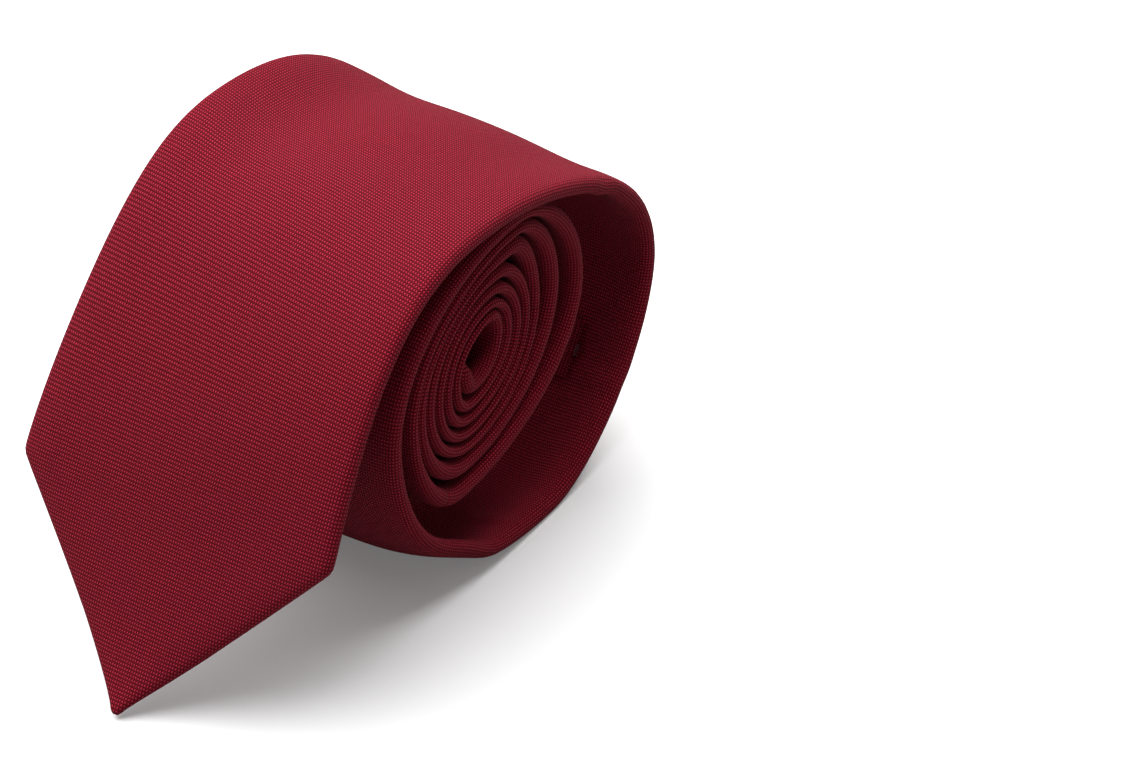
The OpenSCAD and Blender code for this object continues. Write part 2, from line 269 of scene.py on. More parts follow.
class Tie:
    """The tie's middle line with its widths, and the place in space of any point of the tie."""

    def __init__(self, sizes):
        self.blade = sizes.blade_width / MM
        self.neck = sizes.neck_width / MM
        self.tail = sizes.tail_width / MM
        self.point = sizes.point_length / MM
        self.tail_point = sizes.tail_point_length / MM
        self.neck_at = sizes.neck_position / MM
        self.near = self.blade / 2
        line = roll_line()
        along = np.concatenate([[0], np.cumsum(np.hypot(*np.diff(line, axis=0).T))])
        self.length = along[-1]
        steps = round(self.length / LINE_STEP)
        self.s = np.linspace(0, self.length, steps + 1)
        even = np.stack([np.interp(self.s, along, line[:, k]) for k in (0, 1)], 1)
        self.line = self.soften(even)
        heading = np.gradient(self.line, axis=0)
        heading /= np.linalg.norm(heading, axis=1)[:, None]
        self.face = np.stack([-heading[:, 1], heading[:, 0]], 1)
        self.tail_corner = self.length - self.tail_point
        self.room_s = self.s[::ROOM_STRIDE]
        self.room = self.find_room()

    @staticmethod
    def soften(points):
        """Evens out the bends of a line, and keeps its two ends."""
        reach = round(3 * LINE_SOFTNESS / LINE_STEP)
        weights = np.exp(-0.5 * (np.arange(-reach, reach + 1) * LINE_STEP / LINE_SOFTNESS) ** 2)
        weights /= weights.sum()
        before = 2 * points[0] - points[reach:0:-1]
        after = 2 * points[-1] - points[-2 : -reach - 2 : -1]
        padded = np.concatenate([before, points, after])
        return np.stack([np.convolve(padded[:, k], weights, "valid") for k in (0, 1)], 1)

    def find_room(self):
        """How far each place on the line could bulge backwards before it meets the next winding in."""
        points = self.line[::ROOM_STRIDE]
        gaps = np.hypot(*(points[:, None] - points[None]).transpose(2, 0, 1))
        later = self.room_s[None] - self.room_s[:, None] > NEXT_WINDING_FROM
        nearest = np.where(later, gaps, ROOM_LIMIT).min(axis=1)
        room = np.clip(nearest - TIE_T - LAYER_GAP, *BACK_BULGE)
        spread = np.ones(ROOM_SPREAD) / ROOM_SPREAD
        padded = np.pad(room, ROOM_SPREAD // 2, mode="edge")
        return np.minimum(room, np.convolve(padded, spread, "valid"))

    def bulge(self, s):
        return np.interp(s, self.room_s, self.room)

    def from_tip(self, s):
        return np.minimum(s, self.length - s)

    def seam_start(self, s):
        return np.where(s < self.length / 2, SEAM_FROM, SEAM_TO)

    def corner(self, s):
        return np.where(s < self.length / 2, self.point, self.tail_point)

    def body_width(self, s):
        """The width between the two corners, which the two points don't change."""
        wide = mix(self.blade, self.neck, (s - self.point) / (self.neck_at - self.point))
        tail = mix(self.neck, self.tail, (s - self.neck_at) / (self.tail_corner - self.neck_at))
        return np.where(s < self.neck_at, wide, tail)

    def point_slope(self, s):
        """How fast a point's half width grows along the tie."""
        return np.where(
            s < self.length / 2, self.blade / 2 / self.point, self.tail / 2 / self.tail_point
        )

    def half_width(self, s):
        """Half the tie's width, with rounded tips and corners."""
        distance = self.from_tip(s)
        rounding = TIP_HALF * np.sqrt(1 - (1 - np.clip(distance / TIP_ROUND, 0, 1)) ** 2)
        pointed = np.hypot(self.point_slope(s) * distance, rounding)
        body = self.body_width(s) / 2
        rounded = (pointed + body - np.sqrt((pointed - body) ** 2 + CORNER_SOFTNESS**2)) / 2
        # The rounding takes a hair off the width even far from the corner, and this gives it back
        return rounded + CORNER_SOFTNESS**2 / 4 / (np.abs(body - pointed) + CORNER_EASE)

    def middle_x(self, s):
        held = np.clip(s, self.point, self.tail_corner)
        near = self.near - STEP_BACK * ramp(held, STEP_FROM, STEP_TO)
        near = near - RECESS * (1 - np.exp(-np.maximum(0, held - STEP_TO) / RECESS_LENGTH))
        return near - self.body_width(held) / 2

    def lapped(self, s):
        """0 where the back is open, 1 where its two flaps overlap."""
        return ramp(self.from_tip(s), self.seam_start(s) - CLOSING, self.seam_start(s))

    def opening(self, s):
        """Half the width of the opening between the flaps."""
        distance, corner = self.from_tip(s), self.corner(s)
        hemmed = np.maximum(LEAST_OPENING, self.half_width(s) - HEM)
        closing = np.clip((distance - corner) / (self.seam_start(s) - CLOSING - corner), 0, 1)
        return mix(hemmed, UNDER_EDGE, np.where(distance > corner, closing, 0))

    def swing(self, s):
        return ramp(s, self.point, SWING_FULL[0]) * (1 - ramp(s, SWING_FULL[1], SWING_END))

    def place(self, s, u, n):
        """The points in space, in metres, of s along the tie, u across it and n through it."""
        s, u, n = np.broadcast_arrays(*(np.asarray(v, float) for v in (s, u, n)))
        x = self.middle_x(s) + u
        for at, across, reach_s, reach_x, height in SWELLS:
            n = n + height * np.exp(-(((s - at) / reach_s) ** 2) - ((x - across) / reach_x) ** 2)
        for at, across, reach_s, reach_x, height in CREASES:
            share = smooth(-n / 0.6) * height
            n = n + share * np.exp(-(((s - at) / reach_s) ** 2) - ((x - across) / reach_x) ** 2)
        far = self.swing(s) * (self.near - x) / self.blade
        track = [np.interp(s, self.s, self.line[:, k]) for k in (0, 1)]
        face = [np.interp(s, self.s, self.face[:, k]) for k in (0, 1)]
        y = track[0] - CENTRE_Y + n * face[0] + SWING_BACK * far
        z = track[1] + n * face[1] + SWING_UP * far
        return np.stack([x, y, z], -1) * MM


# --- Meshes ---


def make_object(name, vertices, faces, uvs, material):
    """A smooth mesh object from its points, faces and one (u, v) in metres for each point."""
    mesh = bpy.data.meshes.new(name)
    mesh.from_pydata(vertices.tolist(), [], faces)
    loops = np.empty(len(mesh.loops), np.int32)
    mesh.loops.foreach_get("vertex_index", loops)
    layer = mesh.uv_layers.new(name="cloth")
    layer.data.foreach_set("uv", np.asarray(uvs, np.float32)[loops].ravel())
    mesh.polygons.foreach_set("use_smooth", np.ones(len(mesh.polygons), bool))
    mesh.materials.append(material)
    mesh.update()
    mesh.validate()
    piece = bpy.data.objects.new(name, mesh)
    bpy.context.scene.collection.objects.link(piece)
    return piece


def signed_volume(vertices, faces):
    """The volume that the faces enclose, which is negative where they point inwards."""
    total = 0.0
    for size in {len(face) for face in faces}:
        group = np.array([face for face in faces if len(face) == size])
        first = vertices[group[:, 0]]
        for k in range(1, size - 1):
            total += np.einsum("ij,ij->", first, np.cross(vertices[group[:, k]], vertices[group[:, k + 1]]))
    return total / 6


def loft(name, rings, uvs, material):
    """A closed solid through rings of points. Points j and last - j of a ring face each other across the
    piece, so each end is closed by a strip of faces."""
    count, size, _ = rings.shape
    vertices = rings.reshape(-1, 3)
    this = np.arange(size)
    after = (this + 1) % size
    low = (np.arange(count - 1) * size)[:, None]
    sides = np.stack([low + this, low + size + this, low + size + after, low + after], -1).reshape(-1, 4)
    faces = sides.tolist()
    end = (count - 1) * size
    for j in range(size // 2 - 1):
        across = size - 1 - j
        faces.append([j, j + 1, across - 1, across])
        faces.append([end + across, end + across - 1, end + j + 1, end + j])
    if signed_volume(vertices, faces) < 0:
        faces = [face[::-1] for face in faces]
    return make_object(name, vertices, faces, uvs.reshape(-1, 2), material)


def thicken(u, n, thickness):
    """The closed outline round a line of points in each ring, with a point at each rounded end."""
    along = np.stack([np.gradient(u, axis=1), np.gradient(n, axis=1)], -1)
    along /= np.linalg.norm(along, axis=-1)[..., None]
    out = np.stack([-along[..., 1], along[..., 0]], -1) * thickness / 2
    middle = np.stack([u, n], -1)
    first = middle[:, :1] - along[:, :1] * thickness * 0.35
    last = middle[:, -1:] + along[:, -1:] * thickness * 0.35
    return np.concatenate([first, middle + out, last, (middle - out)[:, ::-1]], 1)


def outline_uvs(cloth_u, s):
    """The cloth's own coordinates for each point that thicken gives, in metres."""
    across = np.concatenate([cloth_u[:, :1], cloth_u, cloth_u[:, -1:], cloth_u[:, ::-1]], 1)
    return np.stack([across, np.broadcast_to(s, across.shape)], -1) * MM


def stations(start, end, spacing, fine_start=False, fine_end=False):
    """Ring positions from start to end, closer together near an end that is a rounded tip."""
    reach, fine = 3.0, 0.3
    parts = [np.arange(start, start + reach, fine)] if fine_start else []
    low = start + reach if fine_start else start
    high = end - reach if fine_end else end
    parts.append(np.linspace(low, high, max(2, round((high - low) / spacing))))
    if fine_end:
        parts.append(np.arange(end, high + fine / 2, -fine)[::-1])
    return np.concatenate(parts)


def shoulder(s, half):
    """How far from its edges the front rounds off, and how deep, where the tie is half wide each way."""
    reach = np.minimum(SHOULDER, 0.5 * half)
    return reach, mix(*SHOULDER_DROP, ramp(s, PRESSED_FROM, PRESSED_TO)) * reach / SHOULDER


def shoulder_drop(s, u, half):
    """How far the front has rounded off at u."""
    reach, deep = shoulder(s, half)
    return deep * np.clip((np.abs(u) - (half - reach)) / reach, 0, 1) ** SHOULDER_POWER


def shell_line(tie, s):
    """The folded cloth's middle line in each ring: under flap, left fold, front, right fold, over flap.
    Returns u, n and the distance along the cloth from the middle of the front."""
    s = s[:, None]
    half = np.maximum(LEAST_HALF, tie.half_width(s) - SHELL_T / 2)
    in_point = smooth((tie.corner(s) + CORNER_EASE / 2 - tie.from_tip(s)) / CORNER_EASE)
    aslant = mix(1, np.hypot(1, tie.point_slope(s)), in_point)
    radius = np.minimum(FOLD_R * aslant + FOLD_SHARE * tie.bulge(s), 0.45 * half)
    reach, drop = shoulder(s, half)
    flat_back = FLAP_N - tie.bulge(s) * reach / SHOULDER
    # The fold is an arc that takes over where the rounded shoulder has the same slope
    slope = SHOULDER_POWER * drop / reach
    height = (TOP_N - drop - flat_back) / 2
    start_angle = np.arctan2(height, slope * radius)
    height = (TOP_N - drop - flat_back) / (1 + np.sin(start_angle))
    middle = flat_back + height
    turn = mix(-np.pi / 2, start_angle, np.linspace(0, 1, 13)[None, :])
    fold_u = half - radius + radius * np.cos(turn)
    fold_n = middle + height * np.sin(turn)
    edge = fold_u[:, -1:]
    steps = np.linspace(0, 1, 9)[None, 1:]
    flat = edge - reach
    front_half = np.concatenate([flat * np.linspace(0, 1, 11)[None, :], flat + reach * steps], 1)
    front_n = TOP_N - drop * np.clip((front_half - flat) / reach, 0, 1) ** SHOULDER_POWER
    # Both flaps run from the fold to their free edges
    crowd = 1 - (1 - np.linspace(0, 1, 29)[None, 1:]) ** 1.5
    lap = tie.lapped(s)
    inner = half - radius
    over_end = np.minimum(mix(tie.opening(s), -LAP_EDGE, lap), inner - LEAST_FLAP)
    under_end = np.minimum(mix(tie.opening(s), -UNDER_EDGE, lap), inner - LEAST_FLAP)
    over_u = mix(inner, over_end, crowd)
    under_u = mix(inner, under_end, crowd)
    bulge_reach = np.minimum(BACK_BULGE_REACH, 0.6 * (inner - over_end))

    def flap_level(across):
        return mix(flat_back, FLAP_N, smooth((inner - across) / bulge_reach))

    raised = ramp(tie.from_tip(s), tie.seam_start(s) - 2 * CLOSING, tie.seam_start(s) - CLOSING)
    step = raised * (1 - smooth((over_u - LAP_STEP_AT) / LAP_STEP_REACH))
    step = np.where(over_end > LAP_STEP_AT, raised, step)
    over_n = mix(flap_level(over_u), LAP_N, step)
    under_n = flap_level(under_u)
    u = np.concatenate(
        [-under_u[:, ::-1], -fold_u, -front_half[:, -2:0:-1], front_half[:, :-1], fold_u[:, ::-1], over_u],
        axis=1,
    )
    n = np.concatenate(
        [under_n[:, ::-1], fold_n, front_n[:, -2:0:-1], front_n[:, :-1], fold_n[:, ::-1], over_n],
        axis=1,
    )
    run = np.concatenate([np.zeros((len(u), 1)), np.cumsum(np.hypot(np.diff(u), np.diff(n)), 1)], 1)
    centre = under_u.shape[1] + fold_u.shape[1] + front_half.shape[1] - 2
    return u, n, run - run[:, centre : centre + 1]


def shell_piece(tie, name, start, end, material, **tips):
    """One piece of the folded shell cloth, from start to end along the tie."""
    s = stations(start, end, 1.3, **tips)
    u, n, cloth_u = shell_line(tie, s)
    outline = thicken(u, n, SHELL_T)
    column = s[:, None]
    # The cloth closes on itself over the last millimetre of a tip
    close = np.sqrt(1 - (1 - np.clip(tie.from_tip(column) / TIP_ROUND, 0, 1)) ** 2)
    level = mix(0, outline[..., 1], close)
    return loft(name, tie.place(column, outline[..., 0], level), outline_uvs(cloth_u, column), material)


def slab(tie, name, s, half, low, high, material, rounding=0.3):
    """A flat layer from level low to high, half wide each way, with its two long edges rounded."""
    across = np.sin(np.radians(np.linspace(-90, 90, 25)))[None, :] * (half[:, None] - rounding)
    u, n = np.broadcast_arrays(across, np.full((len(s), 1), (low + high) / 2))
    outline = thicken(u, n, high - low)
    cloth_u = np.broadcast_to(across, u.shape)
    column = s[:, None]
    level = outline[..., 1] - shoulder_drop(column, outline[..., 0], tie.half_width(column))
    points = tie.place(column, outline[..., 0], level)
    return loft(name, points, outline_uvs(cloth_u, column), material)


def tube(name, paths, radius, material, sides=8):
    """Round threads along paths of points in metres, with closed ends, as one mesh."""
    vertices, faces, uvs = [], [], []
    turn = np.linspace(0, 2 * np.pi, sides, endpoint=False)
    for path in paths:
        path = np.asarray(path, float)
        along = np.gradient(path, axis=0)
        along /= np.linalg.norm(along, axis=1)[:, None]
        side = np.cross(along, along[0] + (0.31, 0.52, 0.79))
        side /= np.linalg.norm(side, axis=1)[:, None]
        up = np.cross(along, side)
        count = len(path)
        share = np.linspace(-1, 1, count)
        # The ends close in over the last tenth of the path, as a rounded tip
        swell = np.sqrt(1 - np.clip((np.abs(share) - 0.9) / 0.1, 0, 0.98) ** 2) * radius
        ring = np.cos(turn)[None, :, None] * side[:, None] + np.sin(turn)[None, :, None] * up[:, None]
        base = len(vertices)
        vertices += (path[:, None] + ring * swell[:, None, None]).reshape(-1, 3).tolist()
        run = np.concatenate([[0], np.cumsum(np.linalg.norm(np.diff(path, axis=0), axis=1))])
        uvs += [(turn[j] * radius, run[i]) for i in range(count) for j in range(sides)]
        for i in range(count - 1):
            for j in range(sides):
                k = (j + 1) % sides
                row = base + i * sides
                faces.append([row + j, row + k, row + sides + k, row + sides + j])
        faces.append([base + j for j in range(sides)][::-1])
        faces.append([base + (count - 1) * sides + j for j in range(sides)])
    vertices = np.array(vertices)
    if signed_volume(vertices, faces) < 0:
        faces = [face[::-1] for face in faces]
    return make_object(name, vertices, faces, uvs, material)


def stitch(tie, start, end, level, rise=0.12):
    """A short stitch between two (s, u) places at one level, bowed away from the tie's middle by rise."""
    share = np.linspace(0, 1, 7)
    s, u = (mix(start[k], end[k], share) for k in (0, 1))
    n = level + math.copysign(rise, level) * np.sin(np.pi * share)
    return tie.place(s, u, n)


# --- Materials ---


def linear(hex_colour):
    """The linear colour of an sRGB hex value."""
    channels = [int(hex_colour[k : k + 2], 16) / 255 for k in (1, 3, 5)]
    return [c / 12.92 if c <= 0.04045 else ((c + 0.055) / 1.055) ** 2.4 for c in channels] + [1.0]


def add(tree, kind, inputs=None, **settings):
    """Adds a node with its settings, and links or sets each of its inputs."""
    node = tree.nodes.new(kind)
    for key, value in settings.items():
        setattr(node, key, value)
    for key, value in (inputs or {}).items():
        if isinstance(value, bpy.types.NodeSocket):
            tree.links.new(value, node.inputs[key])
        else:
            node.inputs[key].default_value = value
    return node


def maths(tree, operation, *values):
    """The result of one Math node."""
    return add(tree, "ShaderNodeMath", dict(enumerate(values)), operation=operation).outputs[0]


def new_material(name, **surface):
    """A material with a Principled surface, whose sockets are set by name."""
    material = bpy.data.materials.new(name)
    material.use_nodes = True
    tree = material.node_tree
    tree.nodes.clear()
    shader = add(tree, "ShaderNodeBsdfPrincipled", surface)
    add(tree, "ShaderNodeOutputMaterial", {"Surface": shader.outputs[0]})
    return material, tree, shader


def noise(tree, vector, scale, detail):
    return add(
        tree, "ShaderNodeTexNoise", {"Vector": vector, "Scale": scale, "Detail": detail}
    ).outputs["Fac"]


def object_coordinates(tree):
    return add(tree, "ShaderNodeTexCoord").outputs["Object"]


def cloth_coordinates(tree):
    return add(tree, "ShaderNodeUVMap", uv_map="cloth").outputs[0]


def dress(tree, shader, colour, height, strength, depth):
    """Gives a surface its colour, and relief of that depth from a height."""
    bump = add(tree, "ShaderNodeBump", {"Height": height, "Strength": strength, "Distance": depth})
    tree.links.new(colour, shader.inputs["Base Color"])
    tree.links.new(bump.outputs["Normal"], shader.inputs["Normal"])


def ramp_node(tree, factor, stops):
    """A colour ramp with (position, hex colour) stops."""
    node = add(tree, "ShaderNodeValToRGB", {"Fac": factor})
    elements = node.color_ramp.elements
    while len(elements) < len(stops):
        elements.new(0.5)
    for element, (position, colour) in zip(elements, stops):
        element.position = position
        element.color = linear(colour)
    return node.outputs["Color"]


def plain_weave(tree, pitch, lean):
    """The height of a plain weave, the share of its right-leaning threads, and each set's own coordinate.
    Pitch is the thread spacing, and lean the angle between each set and the length of the cloth."""
    axes = add(tree, "ShaderNodeSeparateXYZ", {0: cloth_coordinates(tree)})
    across, along = axes.outputs["X"], axes.outputs["Y"]
    over_u = maths(tree, "MULTIPLY", across, math.cos(lean) / pitch)
    over_v = maths(tree, "MULTIPLY", along, math.sin(lean) / pitch)
    right = maths(tree, "SUBTRACT", over_u, over_v)
    left = maths(tree, "ADD", over_u, over_v)
    heights = []
    for own, other, side in ((right, left, 1), (left, right, -1)):
        index = maths(tree, "ROUND", own)
        offset = maths(tree, "SUBTRACT", own, index)
        crown = maths(tree, "COSINE", maths(tree, "MULTIPLY", offset, math.pi))
        parity = maths(tree, "COSINE", maths(tree, "MULTIPLY", index, math.pi))
        wave = maths(tree, "COSINE", maths(tree, "MULTIPLY", other, math.pi))
        crimp = maths(tree, "MULTIPLY", maths(tree, "MULTIPLY", parity, wave), 0.5 * side)
        heights.append(maths(tree, "MULTIPLY_ADD", crown, 0.5, crimp))
    difference = maths(tree, "SUBTRACT", *heights)
    share = add(
        tree,
        "ShaderNodeMapRange",
        {"Value": difference, "From Min": -0.12, "From Max": 0.12},
        interpolation_type="SMOOTHSTEP",
    )
    return maths(tree, "MAXIMUM", *heights), share.outputs["Result"], right, left


def uneven(tree, colour, own, other, amount):
    """The colour, a little lighter or darker from thread to thread, and slowly along each thread."""
    index = maths(tree, "ROUND", own)
    run = maths(tree, "MULTIPLY", other, 0.09)
    spot = add(tree, "ShaderNodeCombineXYZ", {0: index, 1: run}).outputs[0]
    slub = noise(tree, spot, 1.0, 2.0)
    tone = add(tree, "ShaderNodeMapRange", {"Value": slub, "To Min": 1 - amount, "To Max": 1 + amount})
    return add(
        tree, "ShaderNodeHueSaturation", {"Color": colour, "Value": tone.outputs["Result"]}
    ).outputs["Color"]


def bias_cloth(weave):
    """Matt plain-weave tie cloth, woven from soft yarn and cut on the bias: its threads lean both ways
    across the tie, and one set is coloured lighter than the other. Painted shade darkens the hollows
    between the threads and a painted highlight lightens their crowns, so the lighter set shows as rows of
    short pale beads."""
    material, tree, shader = new_material(
        "plain_weave_bias_cloth",
        **{
            "Roughness": 0.85,
            "Specular IOR Level": 0.1,
            "Sheen Weight": weave.sheen,
            "Sheen Roughness": 0.45,
            "Sheen Tint": linear("#ffc4ca"),
        },
    )
    height, share, right, left = plain_weave(tree, weave.thread_spacing, weave.thread_lean)
    # Both ramps follow the thread height: painted shade in the hollows, and lighter colour towards each
    # crown, a painted highlight that is brightest on the lighter set.
    light = ramp_node(
        tree, height, ((0.1, weave.hollow_shade_colour), (0.5, weave.warp_colour), (0.88, weave.bead_highlight_colour))
    )
    dark = ramp_node(
        tree, height, ((0.1, weave.hollow_shade_colour), (0.55, weave.weft_colour), (0.95, weave.warp_colour))
    )
    light = uneven(tree, light, right, left, weave.slub)
    dark = uneven(tree, dark, left, right, weave.slub)
    colour = add(tree, "ShaderNodeMix", {"Factor": share, 6: dark, 7: light}, data_type="RGBA").outputs[2]
    dress(tree, shader, colour, height, weave.relief_strength, weave.relief)
    return material


def lining_satin(colour, deep):
    """Thin acetate satin: long floats all one way give it a soft streaky gloss."""
    material, tree, shader = new_material(
        "acetate_lining_satin", **{"Roughness": 0.5, "Specular IOR Level": 0.15}
    )
    # Floats 0.2 mm wide and 2 mm long
    stretch = {"Vector": cloth_coordinates(tree), "Scale": (5000.0, 500.0, 1.0)}
    floats = noise(tree, add(tree, "ShaderNodeMapping", stretch).outputs[0], 1.0, 3.0)
    dress(tree, shader, ramp_node(tree, floats, ((0.3, deep), (0.7, colour))), floats, 0.5, 0.04 * MM)
    return material


def brushed_wool(colour, shade):
    """Brushed wool interlining: undyed, matt and hairy."""
    material, tree, shader = new_material(
        "brushed_wool_interlining", **{"Roughness": 0.95, "Specular IOR Level": 0.1, "Sheen Weight": 0.4}
    )
    # Matted fibre clumps about 1 mm across
    clumps = noise(tree, object_coordinates(tree), 1000.0, 6.0)
    dress(tree, shader, ramp_node(tree, clumps, ((0.3, shade), (0.7, colour))), clumps, 0.8, 0.2 * MM)
    return material


def sewing_thread(colour, shade):
    """Spun polyester sewing thread: its plies twist round it in fine slanting ridges."""
    material, tree, shader = new_material(
        "spun_polyester_thread", **{"Roughness": 0.55, "Specular IOR Level": 0.4, "Sheen Weight": 0.15}
    )
    axes = add(tree, "ShaderNodeSeparateXYZ", {0: cloth_coordinates(tree)})
    # One ridge every 0.4 mm along the thread, slanting at about 45 degrees
    lean = maths(tree, "ADD", axes.outputs["X"], axes.outputs["Y"])
    ply = maths(tree, "SINE", maths(tree, "MULTIPLY", lean, 2 * math.pi / (0.4 * MM)))
    level = add(tree, "ShaderNodeMapRange", {"Value": ply, "From Min": -1.0}).outputs["Result"]
    dress(tree, shader, ramp_node(tree, level, ((0.1, shade), (0.8, colour))), level, 0.7, 0.05 * MM)
    return material


def label_ribbon():
    """Polyester label ribbon: a fine off-white taffeta with a faint rib across it."""
    material, tree, shader = new_material(
        "polyester_label_taffeta", **{"Roughness": 0.5, "Specular IOR Level": 0.4, "Sheen Weight": 0.1}
    )
    height, _, _, _ = plain_weave(tree, 0.3 * MM, math.radians(2))
    # Painted shade: the colour follows the weave's height, a darker beige in the hollows between the
    # threads and off-white on their tops.
    tone = ramp_node(tree, height, ((0.0, "#cfc9bc"), (0.8, "#f1eee6")))
    dress(tree, shader, tone, height, 0.5, 0.04 * MM)
    return material


def table_paper(colour, painted_bounce_shade, painted_shadow_lift):
    """The white paper that the tie lies on: smooth, matt and almost without grain. Only the camera sees it
    give off a little light, which is painted light that lifts the shadows on it; everything else sees it as
    a darker grey, which is painted shade that sends less light back onto the tie."""
    material, tree, shader = new_material(
        "matt_white_paper",
        **{"Roughness": 0.9, "Specular IOR Level": 0.1, "Emission Color": (1, 1, 1, 1)},
    )
    # Painted light: the paper gives off a little light for the camera only, which lifts the shadows on it.
    seen = add(tree, "ShaderNodeLightPath").outputs["Is Camera Ray"]
    tree.links.new(maths(tree, "MULTIPLY", seen, painted_shadow_lift), shader.inputs["Emission Strength"])
    # Paper grain about 2 mm across
    grain = noise(tree, object_coordinates(tree), 500.0, 2.0)
    paper = ramp_node(tree, grain, ((0.3, colour), (0.7, "#f0f0f0")))
    # Painted shade: everything but the camera sees the paper as a darker grey, so less light comes back
    # onto the tie.
    sheet = add(tree, "ShaderNodeMix", {"Factor": seen, 6: linear(painted_bounce_shade), 7: paper}, data_type="RGBA")
    tree.links.new(sheet.outputs[2], shader.inputs["Base Color"])
    return material


# --- Settings ---

BLADE_LOW, BLADE_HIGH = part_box("wide_blade_shell")


def number(name, text, value, **options):
    return bpy.props.FloatProperty(name=name, description=text, default=value, **options)


def length(name, text, value, **options):
    return number(name, text, value, unit="LENGTH", **options)


def angle(name, text, degrees):
    return number(name, text, math.radians(degrees), subtype="ANGLE")


def hex_colour(name, text, value):
    return bpy.props.StringProperty(name=name, description=text + ", as a hex value", default=value)


class TieSizes(bpy.types.PropertyGroup):
    """The tie's own sizes, laid flat."""

    blade_width: length(
        "Blade width", "Width of the wide blade at its corners", round((BLADE_HIGH - BLADE_LOW).x, 4)
    )
    neck_width: length("Neck width", "Width where the tie is narrowest", 0.038)
    tail_width: length("Tail width", "Width of the narrow blade at its corners", 0.048)
    point_length: length("Point length", "From the wide blade's corners to its tip", 0.048)
    tail_point_length: length("Tail point length", "From the narrow blade's corners to its tip", 0.027)
    neck_position: length("Neck position", "How far the neck is from the wide tip", 0.86)


class TieWeave(bpy.types.PropertyGroup):
    """The shell cloth's weave and colours."""

    thread_spacing: length(
        "Thread spacing", "Distance between neighbouring threads", 0.535 * MM, precision=6
    )
    thread_lean: angle("Thread lean", "Angle between each set of threads and the length of the tie", 37.6)
    relief: length("Relief", "Height of the threads over the hollows", 0.2 * MM)
    relief_strength: number("Relief strength", "Share of the relief that shows", 0.8, min=0, max=1)
    slub: number("Unevenness", "How much lighter or darker single threads are", 0.22, min=0, max=1)
    sheen: number("Sheen", "Strength of the fuzz that catches light", 0.04, min=0, max=1)
    # The bead colour is a painted highlight on the crowns of the lighter threads, and the hollow colour is
    # painted shade between the threads.
    bead_highlight_colour: hex_colour("Bead colour", "Top of the lighter threads", "#ae2a41")
    warp_colour: hex_colour("Light thread colour", "Side of the lighter threads", "#680516")
    weft_colour: hex_colour("Dark thread colour", "Side of the darker threads", "#56020d")
    hollow_shade_colour: hex_colour("Hollow colour", "Depths between the threads", "#360004")


class TieStage(bpy.types.PropertyGroup):
    """The camera and the lights."""

    azimuth: angle("Azimuth", "How far the camera stands round to the right", 32.1)
    elevation: angle("Elevation", "How far the camera looks down", 35.3)
    distance: length("Distance", "From the camera to the point it looks at", 0.85)
    lens: number("Lens", "Focal length on a 36 mm wide frame, in millimetres", 105.2)
    target: bpy.props.FloatVectorProperty(
        name="Target",
        description="The point that the camera looks at",
        default=(0.01434, 0.08475, -0.00276),
        subtype="TRANSLATION",
    )
    sky: number("Sky", "Strength of the even white light all round", 0.22, min=0)
    key_power: number("Key power", "Power of the large softbox overhead", 60.0, unit="POWER")
    fill_power: number("Fill power", "Power of the softbox at the front left", 1.5, unit="POWER")


# --- Operators ---


def current_tie():
    return Tie(bpy.context.scene.tie_sizes)


def shared_material(name, make):
    """The material of that name, made the first time that it's asked for."""
    return bpy.data.materials.get(name) or make()


def cloth_material():
    return shared_material("plain_weave_bias_cloth", lambda: bias_cloth(bpy.context.scene.tie_weave))


def thread_material():
    return shared_material("spun_polyester_thread", lambda: sewing_thread("#7a2132", "#3a0812"))


def settle(piece, slot, *nodes):
    """Attaches a finished piece to its body and hides the CAD nodes that it stands for. The slot is not
    used.
    """
    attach(piece, "root")
    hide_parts(*nodes)
    return piece


def sew(name, node, paths, radius, **options):
    """Builds stitches along their paths, from thread of that radius in millimetres."""
    settle(tube(name, paths, radius * MM, thread_material(), **options), "sewing_thread", node)


def flat_cut(tie, start, end):
    """The greatest width, the length and the area of a piece of shell cloth laid flat, in metres."""
    s = np.linspace(start, end, 400)
    front = 2 * tie.half_width(s)
    is_open = tie.from_tip(s) < tie.seam_start(s) - CLOSING
    width = front + np.where(is_open, front - 2 * tie.opening(s), front + LAP_EDGE * 2)
    area = np.mean(width) * (end - start)
    return (float(width.max()) * MM, (end - start) * MM), float(area) * MM * MM


class NECKTIE_OT_shell(bpy.types.Operator):
    """Builds the three pieces of folded shell cloth"""

    bl_idname = "necktie.shell"
    bl_label = "Shell Cloth"

    def execute(self, context):
        tie = current_tie()
        cuts = (
            ("wide_blade", TIP_GAP, WIDE_JOIN - JOIN_GAP, {"fine_start": True}),
            ("neck", WIDE_JOIN + JOIN_GAP, NARROW_JOIN - JOIN_GAP, {}),
            ("narrow_blade", NARROW_JOIN + JOIN_GAP, tie.length - TIP_GAP, {"fine_end": True}),
        )
        for part, start, end, tips in cuts:
            name, node = part + "_cloth", part + "_shell"
            piece = shell_piece(tie, name, start, end, cloth_material(), **tips)
            settle(piece, "shell_cloth", node)
            flat, area = flat_cut(tie, start, end)
        return {"FINISHED"}


class NECKTIE_OT_interlining(bpy.types.Operator):
    """Builds the brushed wool layer inside the tie"""

    bl_idname = "necktie.interlining"
    bl_label = "Interlining"

    def execute(self, context):
        tie = current_tie()
        wool = brushed_wool("#e2dccd", "#b9b09c")
        s = np.linspace(LINING_START, tie.length - LINING_START, 700)
        half = tie.half_width(s) - LINING_INSET
        piece = slab(tie, "interlining_wool", s, half, CORE_LOW, CORE_TOP, wool, rounding=0.4)
        settle(piece, "interlining_wool", "interlining")
        return {"FINISHED"}


